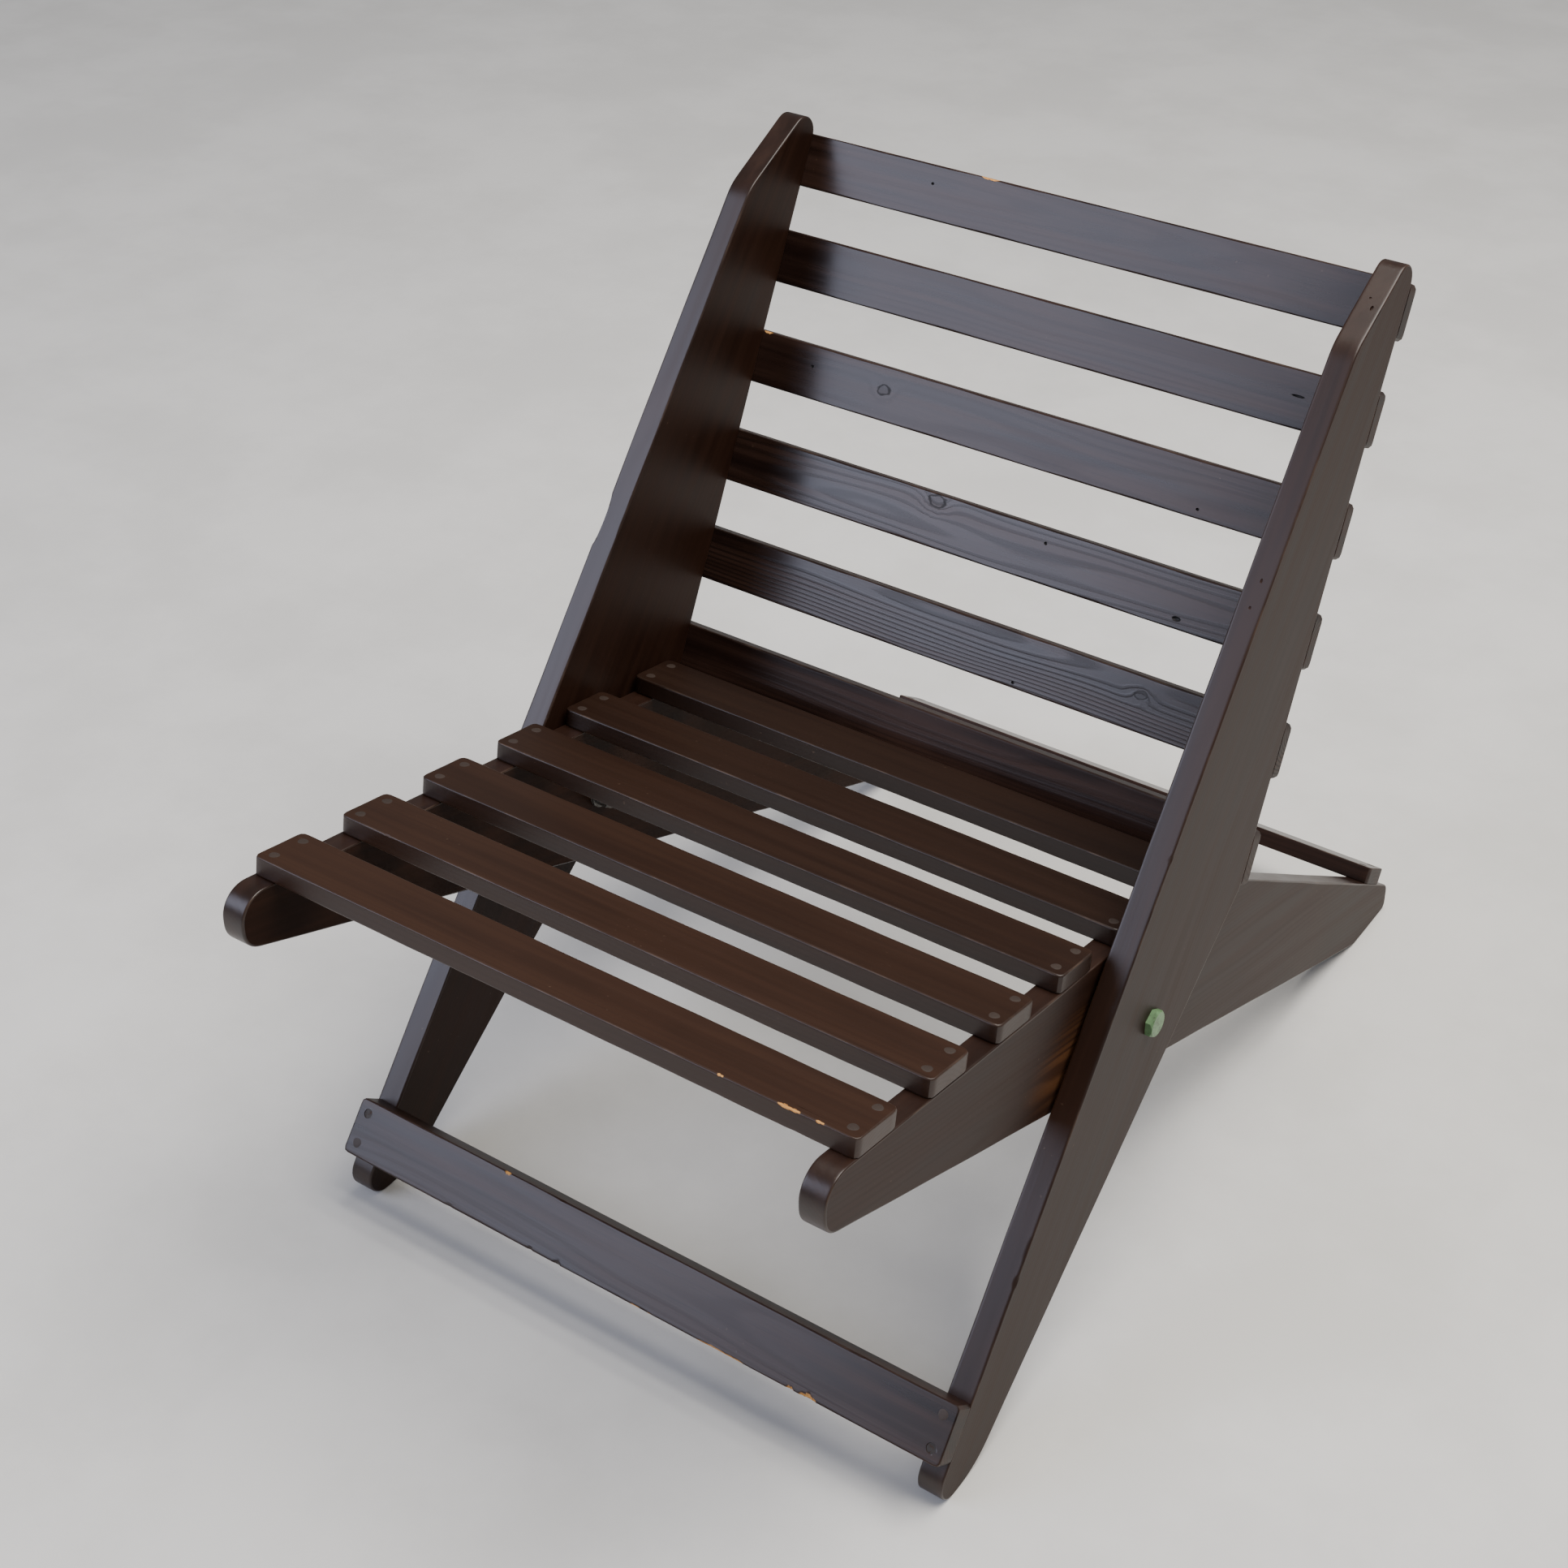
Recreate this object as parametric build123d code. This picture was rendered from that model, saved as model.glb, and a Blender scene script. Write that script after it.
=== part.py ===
from build123d import *
import math
import os

os.makedirs("parts", exist_ok=True)

# Folding slatted chair: two crossing frames on one pair of bolts.
# Millimetres, +Z up, the sitter faces -Y, X runs across the seat.
# The profiles below are drawn in the (y, z) side view.

# ---- overall ----
WIDTH = 520.0            # across the outer faces of the stiles
BOARD = 19.0             # thickness of stiles and seat rails
SIDE_GAP = 2.8           # stile inner face to rail outer face
ARRIS = 1.2              # rounding along the board edges

STILE_OUT = WIDTH / 2
STILE_IN = STILE_OUT - BOARD
RAIL_OUT = STILE_IN - SIDE_GAP
RAIL_IN = RAIL_OUT - BOARD

# ---- pivot hardware ----
PIVOT = (-70.8, 230.6)   # bolt centre in the side view
SHANK_D = 12.0
RAIL_BORE_D = 12.14
HEAD_AF = 18.0
HEAD_H = 5.5
SPACER_T = 2.5
WASHER_T = 2.5
WASHER_D = 24.0
NUT_AF = 18.0
NUT_H = 11.0
SHANK_PROUD = 2.0
WORK_GAP = 0.3           # between parts that turn past each other

# ---- stile side view ----
REAR_BEND = (57.8, 262.7)
BACK_ANGLE = 64.44       # rear edge above the bend, from level
FRONT_LOW = (-290.0, 69.3)
FRONT_ANGLE = 51.62      # front edge, from level
LEG_REAR_ANGLE = 37.42   # rear edge below the bend, from level
CROWN_POINT = (190.0, 657.0)
CROWN_ANGLE = 28.5       # front edge above its upper bend
CROWN_R = 14.0
CROWN_BEND_R = 40.0
TOE_R = 16.0
HEEL_R = 60.0

# ---- seat rail side view ----
SEAT_FRONT = (-399.7, 347.7)   # rail top edge under the first slat
SEAT_ANGLE = -9.83
TAIL_ANGLE = -32.72            # rail top edge behind the seat
RAIL_LOW = (321.1, 17.3)
RAIL_LOW_ANGLE = -21.44
NOSE_Y = -430.0
NOSE_R = 19.0
TAIL_Y = 430.0
TAIL_TOP_R = 10.0
TAIL_FOOT_R = 6.0
STOP_GAP = 0.3                 # back slat 6 over the rail top edge

# ---- slats ----
SLAT_R = 1.2                   # rounding over all slat edges
SLAT_CORNER_R = 3.0            # corners, seen square on
BACK_SLAT_W = 41.5
BACK_SLAT_T = 14.0
BACK_SLAT_FROM_BEND = [400.5, 323.5, 242.5, 161.5, 80.5]
SEAT_SLAT_W = 44.5
SEAT_SLAT_T = 14.0
SEAT_SLAT_START = [0.0, 80.0, 159.0, 238.0, 317.0, 401.5]
FRONT_RAIL_W = 41.5
FRONT_RAIL_T = 18.5
FRONT_RAIL_TOP_Z = 65.5
REAR_RAIL_W = 37.5
REAR_RAIL_T = 14.0
REAR_RAIL_INSET = 27.0         # from the tail end face, along the edge

# ---- screws ----
SCREW_HEAD_D = 7.2
SCREW_HEAD_H = 3.4
SCREW_D = 3.6
SCREW_L = 34.0
SCREW_SINK = 0.5
BACK_SCREW_SPREAD = 22.0
SEAT_SCREW_SPREAD = 26.0
RAIL_SCREW_SPREAD = 22.5


def ray(angle):
    """Unit direction in the side view at an angle from level."""
    a = math.radians(angle)
    return (math.cos(a), math.sin(a))


def cross_point(p, a, q, b):
    """Where the line through p at angle a meets the line through q at b."""
    (ux, uz), (vx, vz) = ray(a), ray(b)
    det = ux * vz - uz * vx
    t = ((q[0] - p[0]) * vz - (q[1] - p[1]) * vx) / det
    return (p[0] + ux * t, p[1] + uz * t)


def along(p, angle, s, off=0.0):
    """Point s along a line from p, then off to the line's left."""
    u = ray(angle)
    return (p[0] + u[0] * s - u[1] * off, p[1] + u[1] * s + u[0] * off)


def side_board(corners, x_low, thickness, arris):
    """Flat board: side-view corners with their radii, arrises rounded."""
    outline = make_face(Polyline(*[(c[0], c[1]) for c in corners], close=True))
    for y, z, radius in corners:
        if radius > 0:
            v = outline.vertices().sort_by_distance(Vector(y, z, 0))[0]
            outline = fillet(v, radius)
    place = Plane(origin=(x_low, 0, 0), x_dir=(0, 1, 0), z_dir=(1, 0, 0))
    board = extrude(place * outline, amount=thickness)
    edges = board.faces().filter_by(Axis.X).edges()
    return fillet(edges, arris)


def slat(centre, angle, width, thickness, length):
    """Bar across the chair; width along the side-view angle."""
    bar = Box(length, width, thickness)
    bar = fillet(bar.edges().filter_by(Axis.Z), SLAT_CORNER_R)
    bar = fillet(bar.faces().filter_by(Axis.Z).edges(), SLAT_R)
    u = ray(angle)
    plane = Plane(origin=(0, centre[0], centre[1]), x_dir=(1, 0, 0),
                  z_dir=(0, -u[1], u[0]))
    return plane * bar


def screw_at(x, point, direction):
    """Countersunk wood screw, head at point, driven along direction."""
    head = Cone(SCREW_D / 2, SCREW_HEAD_D / 2, SCREW_HEAD_H)
    head = Pos(0, 0, -SCREW_HEAD_H / 2) * head
    shank_l = SCREW_L - SCREW_HEAD_H - 5
    shank = Pos(0, 0, -SCREW_HEAD_H - shank_l / 2) * Cylinder(SCREW_D / 2, shank_l)
    tip = Pos(0, 0, -SCREW_L + 2.5) * Cone(0.4, SCREW_D / 2, 5)
    screw = head + shank + tip
    sunk = (point[0] + direction[0] * SCREW_SINK, point[1] + direction[1] * SCREW_SINK)
    plane = Plane(origin=(x, sunk[0], sunk[1]), x_dir=(1, 0, 0),
                  z_dir=(0, -direction[0], -direction[1]))
    return plane * screw


def sink_at(x, point, direction):
    """The short open bore above a sunk screw head."""
    mid = (point[0] - direction[0] * (2 - SCREW_SINK / 2),
           point[1] - direction[1] * (2 - SCREW_SINK / 2))
    plane = Plane(origin=(x, mid[0], mid[1]), x_dir=(1, 0, 0),
                  z_dir=(0, -direction[0], -direction[1]))
    return plane * Cylinder(SCREW_HEAD_D / 2, 4 + SCREW_SINK / 2)


def x_cylinder(x0, x1, diameter):
    """Cylinder on the pivot line between two x values."""
    plane = Plane(origin=(min(x0, x1), PIVOT[0], PIVOT[1]), x_dir=(0, 1, 0),
                  z_dir=(1, 0, 0))
    rod = Cylinder(diameter / 2, abs(x1 - x0), align=(Align.CENTER, Align.CENTER, Align.MIN))
    return plane * rod


def hexagon(x0, x1, flats, chamfer_out):
    """Hexagonal head or nut on the pivot line; one face chamfered."""
    height = abs(x1 - x0)
    block = extrude(RegularPolygon(flats / 2, 6, major_radius=False), amount=height)
    crown = Cone(flats * 0.95, flats * 0.49, flats * 0.46 * 0.62 * 2,
                 align=(Align.CENTER, Align.CENTER, Align.MAX))
    crown = Pos(0, 0, height) * crown
    block = block & crown
    sign = 1 if chamfer_out else -1
    start = min(x0, x1) if chamfer_out else max(x0, x1)
    plane = Plane(origin=(start, PIVOT[0], PIVOT[1]), x_dir=(0, 0, 1),
                  z_dir=(sign, 0, 0))
    return plane * block


def write(node, shape):
    """One named node: a solid, or a group of separate solids."""
    solids = shape if isinstance(shape, list) else [shape]
    solids = [s for item in solids for s in item.solids()]
    out = solids[0] if len(solids) == 1 else Compound(children=solids)
    export_step(out, "parts/" + node + ".step")


# ---- derived points ----
toe = cross_point(FRONT_LOW, FRONT_ANGLE, (0, 0), 0)
heel = cross_point(REAR_BEND, LEG_REAR_ANGLE, (0, 0), 0)
crown_bend = cross_point(FRONT_LOW, FRONT_ANGLE, CROWN_POINT, CROWN_ANGLE)
crown = cross_point(CROWN_POINT, CROWN_ANGLE, REAR_BEND, BACK_ANGLE)

# Back slat 6 has its lower edge at the stile's rear bend. The rail's tail
# edge passes under the slat's rounded lower front corner with STOP_GAP.
tail_normal = (-ray(TAIL_ANGLE)[1], ray(TAIL_ANGLE)[0])
corner_arc = along(REAR_BEND, BACK_ANGLE, SLAT_R, -SLAT_R)
lowest = (corner_arc[0] - tail_normal[0] * (SLAT_R + STOP_GAP),
          corner_arc[1] - tail_normal[1] * (SLAT_R + STOP_GAP))
seat_bend = cross_point(SEAT_FRONT, SEAT_ANGLE, lowest, TAIL_ANGLE)
tail_top = cross_point(lowest, TAIL_ANGLE, (TAIL_Y, 0), 90)
foot_front = cross_point(RAIL_LOW, RAIL_LOW_ANGLE, (0, 0), 0)
nose_top = cross_point(SEAT_FRONT, SEAT_ANGLE, (NOSE_Y, 0), 90)
nose_low = cross_point(RAIL_LOW, RAIL_LOW_ANGLE, (NOSE_Y, 0), 90)

stile_corners = [(toe[0], toe[1], TOE_R), (heel[0], heel[1], HEEL_R),
                 (REAR_BEND[0], REAR_BEND[1], 0), (crown[0], crown[1], CROWN_R),
                 (crown_bend[0], crown_bend[1], CROWN_BEND_R)]
rail_corners = [(nose_low[0], nose_low[1], NOSE_R), (foot_front[0], foot_front[1], 0),
                (TAIL_Y, 0, TAIL_FOOT_R), (tail_top[0], tail_top[1], TAIL_TOP_R),
                (seat_bend[0], seat_bend[1], 0), (nose_top[0], nose_top[1], NOSE_R)]

# ---- slats and cross rails with their screws ----
back_slats = []
back_screws = []
back_sinks = []
into_stile = (-math.sin(math.radians(BACK_ANGLE)), math.cos(math.radians(BACK_ANGLE)))
for start in BACK_SLAT_FROM_BEND + [0.0]:
    mid = along(REAR_BEND, BACK_ANGLE, start + BACK_SLAT_W / 2, -BACK_SLAT_T / 2)
    bar = slat(mid, BACK_ANGLE, BACK_SLAT_W, BACK_SLAT_T, WIDTH)
    for side in (-1, 1):
        for step in (-0.5, 0.5):
            s = start + BACK_SLAT_W / 2 + step * BACK_SCREW_SPREAD
            p = along(REAR_BEND, BACK_ANGLE, s, -BACK_SLAT_T)
            x = side * (STILE_OUT - BOARD / 2)
            back_screws.append(screw_at(x, p, into_stile))
            back_sinks.append(sink_at(x, p, into_stile))
            bar = bar - back_screws[-1] - back_sinks[-1]
    back_slats.append(bar)

seat_slats = []
seat_screws = []
into_rail = (ray(SEAT_ANGLE)[1], -ray(SEAT_ANGLE)[0])
for start in SEAT_SLAT_START:
    mid = along(SEAT_FRONT, SEAT_ANGLE, start + SEAT_SLAT_W / 2, SEAT_SLAT_T / 2)
    bar = slat(mid, SEAT_ANGLE, SEAT_SLAT_W, SEAT_SLAT_T, 2 * RAIL_OUT)
    for side in (-1, 1):
        for step in (-0.5, 0.5):
            s = start + SEAT_SLAT_W / 2 + step * SEAT_SCREW_SPREAD
            p = along(SEAT_FRONT, SEAT_ANGLE, s, SEAT_SLAT_T)
            x = side * (RAIL_OUT - BOARD / 2)
            seat_screws.append(screw_at(x, p, into_rail))
            bar = bar - seat_screws[-1] - sink_at(x, p, into_rail)
    seat_slats.append(bar)

front_top = cross_point(FRONT_LOW, FRONT_ANGLE, (0, FRONT_RAIL_TOP_Z), 0)
front_mid = along(front_top, FRONT_ANGLE, -FRONT_RAIL_W / 2, FRONT_RAIL_T / 2)
front_cross_rail = slat(front_mid, FRONT_ANGLE, FRONT_RAIL_W, FRONT_RAIL_T, WIDTH)
into_leg = (ray(FRONT_ANGLE)[1], -ray(FRONT_ANGLE)[0])
front_screws = []
for side in (-1, 1):
    for step in (-0.5, 0.5):
        s = -FRONT_RAIL_W / 2 + step * RAIL_SCREW_SPREAD
        p = along(front_top, FRONT_ANGLE, s, FRONT_RAIL_T)
        x = side * (STILE_OUT - BOARD / 2)
        front_screws.append(screw_at(x, p, into_leg))
        front_cross_rail = front_cross_rail - front_screws[-1] - sink_at(x, p, into_leg)

rear_end = along(tail_top, TAIL_ANGLE, -REAR_RAIL_INSET)
rear_mid = along(rear_end, TAIL_ANGLE, -REAR_RAIL_W / 2, REAR_RAIL_T / 2)
rear_cross_rail = slat(rear_mid, TAIL_ANGLE, REAR_RAIL_W, REAR_RAIL_T, 2 * RAIL_OUT)
into_tail = (ray(TAIL_ANGLE)[1], -ray(TAIL_ANGLE)[0])
rear_screws = []
for side in (-1, 1):
    for step in (-0.5, 0.5):
        s = -REAR_RAIL_W / 2 + step * RAIL_SCREW_SPREAD
        p = along(rear_end, TAIL_ANGLE, s, REAR_RAIL_T)
        x = side * (RAIL_OUT - BOARD / 2)
        rear_screws.append(screw_at(x, p, into_tail))
        rear_cross_rail = rear_cross_rail - rear_screws[-1] - sink_at(x, p, into_tail)

# ---- the four side boards ----
stile_cut = back_screws + front_screws
rail_cut = seat_screws + rear_screws
for side, name in ((-1, "left"), (1, "right")):
    x_low = STILE_IN if side > 0 else -STILE_OUT
    stile = side_board(stile_corners, x_low, BOARD, ARRIS)
    stile = stile - x_cylinder(x_low - 1, x_low + BOARD + 1, SHANK_D)
    for screw in stile_cut:
        if screw.center().X * side > 0:
            stile = stile - screw
    write("stile_" + name, stile)

    x_low = RAIL_IN if side > 0 else -RAIL_OUT
    rail = side_board(rail_corners, x_low, BOARD, ARRIS)
    rail = rail - x_cylinder(x_low - 1, x_low + BOARD + 1, RAIL_BORE_D)
    for screw in rail_cut:
        if screw.center().X * side > 0:
            rail = rail - screw
    write("seat_rail_" + name, rail)

# ---- pivot bolts, spacers, washers and lock nuts, both sides ----
bolts = []
spacers = []
washers = []
nuts = []
nut_face = RAIL_IN - WORK_GAP - WASHER_T
for side in (-1, 1):
    head = hexagon(side * STILE_OUT, side * (STILE_OUT + HEAD_H), HEAD_AF, side > 0)
    end = nut_face - NUT_H - SHANK_PROUD
    shank = x_cylinder(side * end, side * STILE_OUT, SHANK_D)
    tip_face = shank.faces().sort_by(Axis.X)[0 if side > 0 else -1]
    shank = chamfer(tip_face.edges(), 1.0)
    bolts.append(head + shank)
    ring = x_cylinder(side * (STILE_IN - SPACER_T), side * STILE_IN, WASHER_D)
    spacers.append(ring - x_cylinder(side * (STILE_IN - 10), side * (STILE_IN + 10), SHANK_D + 0.6))
    ring = x_cylinder(side * nut_face, side * (nut_face + WASHER_T), WASHER_D)
    washers.append(ring - x_cylinder(side * (nut_face - 10), side * (nut_face + 10), SHANK_D + 0.6))
    nut = hexagon(side * nut_face, side * (nut_face - NUT_H), NUT_AF, side < 0)
    nuts.append(nut - x_cylinder(side * (nut_face - 30), side * (nut_face + 5), SHANK_D))

# ---- files ----
for number, bar in enumerate(back_slats, start=1):
    write("back_slat_" + str(number), bar)
for number, bar in enumerate(seat_slats, start=1):
    write("seat_slat_" + str(number), bar)
write("front_cross_rail", front_cross_rail)
write("rear_cross_rail", rear_cross_rail)
write("back_slat_screws", back_screws)
write("seat_slat_screws", seat_screws)
write("front_rail_screws", front_screws)
write("rear_rail_screws", rear_screws)
write("pivot_bolts", bolts)
write("spacer_washers", spacers)
write("nut_washers", washers)
write("lock_nuts", nuts)
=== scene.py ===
import math
import bpy
import numpy as np
from mathutils import Matrix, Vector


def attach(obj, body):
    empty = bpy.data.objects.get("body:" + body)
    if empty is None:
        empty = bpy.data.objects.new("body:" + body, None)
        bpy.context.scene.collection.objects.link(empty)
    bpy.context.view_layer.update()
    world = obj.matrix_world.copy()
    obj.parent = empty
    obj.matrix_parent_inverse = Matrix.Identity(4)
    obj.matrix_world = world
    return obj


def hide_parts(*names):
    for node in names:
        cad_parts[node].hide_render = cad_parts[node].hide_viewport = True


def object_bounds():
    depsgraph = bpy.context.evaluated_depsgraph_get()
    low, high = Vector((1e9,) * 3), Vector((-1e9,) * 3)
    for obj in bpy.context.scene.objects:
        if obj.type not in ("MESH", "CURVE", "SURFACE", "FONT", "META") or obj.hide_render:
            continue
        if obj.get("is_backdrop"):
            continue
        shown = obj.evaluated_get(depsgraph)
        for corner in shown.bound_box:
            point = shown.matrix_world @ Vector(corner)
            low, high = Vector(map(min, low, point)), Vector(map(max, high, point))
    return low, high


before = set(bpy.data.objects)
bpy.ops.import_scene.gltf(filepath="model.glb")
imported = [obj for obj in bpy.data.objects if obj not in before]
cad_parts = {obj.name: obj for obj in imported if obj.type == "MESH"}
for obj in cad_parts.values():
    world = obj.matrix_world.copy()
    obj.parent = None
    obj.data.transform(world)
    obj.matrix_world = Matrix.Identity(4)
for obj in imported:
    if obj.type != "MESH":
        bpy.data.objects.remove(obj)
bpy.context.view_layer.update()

# ---- the two stiles ----
# Each stile is one broad pine board, sawn to a long leaf shape that is widest at the bolt, with its
# arrises broken by hand, dark stained and varnished. It carries the back slats and stands on its toe.

SIDE_VIEW = np.array([[0.0, 1.0, 0.0], [0.0, 0.0, 1.0], [1.0, 0.0, 0.0]])
STILE_ARRIS = 0.0013
STILE_SOFTENING = 0.004
STILE_GRAIN = 52.0
FRONT_ANGLE = 51.62
# The third tone of a stain is used only as the lit colour inside the painted warm reflection.
FRAME_STAIN = ((0.0150, 0.0062, 0.0036, 1.0), (0.0280, 0.0118, 0.0068, 1.0),
               (0.055, 0.0225, 0.0110, 1.0))
# Lighter brown laid along the arrises, for stain rubbed off them and for a painted highlight; scuffs use it
# too.
RUBBED_WOOD_AND_HIGHLIGHT = (0.115, 0.072, 0.048, 1.0)
BARE_WOOD = (0.70, 0.37, 0.115, 1.0)
TORN_GRAIN = (0.46, 0.200, 0.050, 1.0)
PIT_DARK = (0.0035, 0.0022, 0.0018, 1.0)
# Late wood colour inside the painted warm reflection on the right rail.
PAINTED_GLOW_LATE_WOOD = (0.13, 0.055, 0.022, 1.0)
RING_SPACING = 0.0031


def cad_points(node):
    """The corner points of a CAD node, one row each."""
    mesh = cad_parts[node].data
    co = np.empty(len(mesh.vertices) * 3)
    mesh.vertices.foreach_get("co", co)
    return co.reshape(-1, 3)


def log_place(points, node, axes, grain):
    """Where points lie in a board's log: along the grain, across it from the board's middle line, and
    through the board from its mid-thickness. The grain runs at an angle to the board's first axis."""
    turn = math.radians(grain)
    tip, wide = np.array([math.cos(turn), math.sin(turn)]), np.array([-math.sin(turn), math.cos(turn)])
    basis = np.stack([tip @ axes[:2], wide @ axes[:2], axes[2]])
    own, all_points = points @ basis.T, cad_points(node) @ basis.T
    middle = (all_points.max(axis=0) + all_points.min(axis=0)) / 2
    return own - middle * np.array([0.0, 1.0, 1.0])


def silhouette(node, axes, softening, step=0.0005):
    """Outline of a board seen square on: its furthest point in each of many directions, in order and
    joined by straight lines, then averaged over a short length of itself, which eases the corners."""
    flat = cad_points(node) @ axes[:2].T
    turn = np.linspace(0.0, 2 * math.pi, 2880, endpoint=False)
    furthest = (flat @ np.stack([np.cos(turn), np.sin(turn)])).argmax(axis=0)
    corners = flat[furthest[furthest != np.roll(furthest, 1)]]
    closed = np.vstack([corners, corners[:1]])
    run = np.concatenate([[0.0], np.cumsum(np.hypot(*np.diff(closed, axis=0).T))])
    at = np.arange(0.0, run[-1], step)
    line = np.stack([np.interp(at, run, closed[:, k]) for k in (0, 1)], axis=1)
    half = int(softening / step / 2)
    return np.mean([np.roll(line, k, axis=0) for k in range(-half, half + 1)], axis=0)


def edge_profile(arris, thickness):
    """Rows across a board's edge, as inset from the outline and height from mid-thickness: a quarter
    circle from the top face down, the flat of the edge, and the same quarter circle to the face below."""
    turn = np.linspace(0.0, math.pi / 2, 6)
    inset = (1 - np.sin(turn))[:, None] * arris
    height = thickness / 2 - (1 - np.cos(turn))[:, None] * arris
    share = np.linspace(1.0, -1.0, 11)[1:-1, None]
    share = np.sign(share) * np.abs(share) ** 0.6
    flat = share * (thickness / 2 - arris)
    # Weight peaking at each arris's middle, where rubbed wear and a painted highlight are laid.
    rub_and_highlight = np.sin(2 * turn)
    inset = np.vstack([inset, 0 * flat, inset[::-1]])
    height = np.vstack([height, flat, -height[::-1]])
    return inset, height, np.concatenate([rub_and_highlight, 0 * share[:, 0], rub_and_highlight[::-1]])


def chip_away(points, chips):
    """Each chip is a dished flat cut into an arris: points further out than its sloping floor are drawn
    back to it. The floor is deepest in the middle and its rim wavers, so the break looks torn. A chip
    older than the stain is as dark as the rest; a newer one is bare."""
    bare = np.zeros(len(points))
    for centre, along, outward, half_length, depth, fresh in chips:
        outward = np.array(outward) / np.linalg.norm(outward)
        away = points - np.array(centre)
        far = away @ np.array(along) / half_length
        reach = depth / np.abs(outward[np.abs(outward) > 0.1]).min() + 0.0015
        near = np.linalg.norm(away - np.outer(away @ np.array(along), along), axis=1) < reach
        waver = 1 + 0.16 * np.sin(far * 7 + depth * 4000) + 0.06 * np.sin(far * 19 + 1.0)
        waver = waver if fresh else 1.0
        floor = -depth * np.clip(1 - far**2, 0, 1) ** 0.6 * waver
        out = away @ outward
        cut = np.where(near & (np.abs(far) < 1), np.clip(out - floor, 0, None), 0)
        points -= cut[:, None] * outward
        bare = np.maximum(bare, np.clip(cut / 0.00008, 0, 1) * fresh)
    return bare


def board(name, node, axes, arris, softening, grain, chips=(), edge_slot=0, spacing=0.003):
    """A closed board: edge rows of the profile carried round the silhouette, then face rows drawn in
    towards the board's middle line, then rungs across from one long side to the other. Points crowd
    where chips are. The edge takes the material in edge_slot, and the faces the first. The log
    attribute gives each point its place in the log."""
    line = silhouette(node, axes, softening)
    high = cad_points(node) @ axes[2]
    thickness, middle = np.ptp(high), (high.max() + high.min()) / 2
    lengths = np.hypot(*(np.roll(line, -1, axis=0) - line).T)
    crowd = np.full(len(line), 1.0 / spacing)
    for chip in chips:
        gap = np.linalg.norm(line - axes[:2] @ np.array(chip[0]), axis=1)
        crowd = np.maximum(crowd, 1500.0 * np.exp(-((gap / (chip[3] * 1.3)) ** 4)))
    run = np.concatenate([[0.0], np.cumsum(crowd * lengths)])
    count = 2 * int(run[-1] / 2)
    at = np.interp(np.arange(count) * run[-1] / count, run, np.arange(len(line) + 1))
    wrap = np.vstack([line, line[:1]])
    ring = np.stack([np.interp(at, np.arange(len(wrap)), wrap[:, k]) for k in (0, 1)], axis=1)
    tangent = np.roll(wrap[:-1], -3, axis=0) - np.roll(wrap[:-1], 3, axis=0)
    tangent = tangent[np.round(at).astype(int) % len(line)]
    tangent /= np.hypot(*tangent.T)[:, None]
    out = np.stack([tangent[:, 1], -tangent[:, 0]], axis=1)
    tip = np.array([math.cos(math.radians(grain)), math.sin(math.radians(grain))])
    wide = np.array([-tip[1], tip[0]])
    start = int((ring @ tip).argmin())
    ring, out = np.roll(ring, -start, axis=0), np.roll(out, -start, axis=0)
    round_trip = np.linspace(0, 2 * math.pi, count, endpoint=False)
    phase = 40 * middle + len(line) * 0.1
    wear_and_glow = 1 + 0.18 * np.sin(7 * round_trip + phase) + 0.12 * np.sin(19 * round_trip + 2.3 * phase)
    wear_and_glow *= arris
    inset, height, rub_and_highlight = edge_profile(wear_and_glow, thickness)
    rows = ring[None] - inset[:, :, None] * out[None]
    reach, side = ring @ tip, ring @ wide
    width = np.ptp(side)
    ends = np.clip(reach, reach.min() + width / 2, reach.max() - width / 2)
    spine_side = np.interp(ends, [reach.min(), reach.max()], [side[reach.argmin()], side[reach.argmax()]])
    spine_side = (spine_side + (side.max() + side.min()) / 2) / 2
    spine = ends[:, None] * tip + spine_side[:, None] * wide
    drawn_in = np.array([0.006, 0.0035, 0.0018, 0.0007])[:, None, None] / (width / 2)
    top = rows[0][None] * (1 - drawn_in) + spine[None] * drawn_in
    low = rows[-1][None] * (1 - drawn_in[::-1]) + spine[None] * drawn_in[::-1]
    rows = np.vstack([top, rows, low])
    height = np.vstack([0 * top[:, :, 0] + thickness / 2, height, 0 * low[:, :, 0] - thickness / 2])
    rub_and_highlight = np.concatenate([np.zeros(len(drawn_in)), rub_and_highlight, np.zeros(len(drawn_in))])
    points = rows.reshape(-1, 2) @ axes[:2] + (height.reshape(-1) + middle)[:, None] * axes[2]
    bare = chip_away(points, chips)
    levels = len(rows)
    row, column = np.meshgrid(np.arange(levels - 1), np.arange(count), indexing="ij")
    follow = (column + 1) % count
    skin = np.stack([row * count + column, (row + 1) * count + column,
                     (row + 1) * count + follow, row * count + follow], axis=-1).reshape(-1, 4)
    rung = np.arange(count // 2 - 1)
    face = np.stack([rung, rung + 1, count - 2 - rung, count - 1 - rung], axis=-1)
    under = face[:, ::-1] + (levels - 1) * count
    mesh = bpy.data.meshes.new(name)
    mesh.from_pydata(points.tolist(), [], np.vstack([skin, face, under]).tolist())
    on_edge = (row >= len(drawn_in)) & (row < levels - 1 - len(drawn_in))
    sorts = np.concatenate([on_edge.ravel() * edge_slot, np.zeros(len(face) + len(under), int)])
    mesh.polygons.foreach_set("material_index", sorts.astype(np.int32))
    store(mesh, "log", log_place(points, node, axes, grain))
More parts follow.
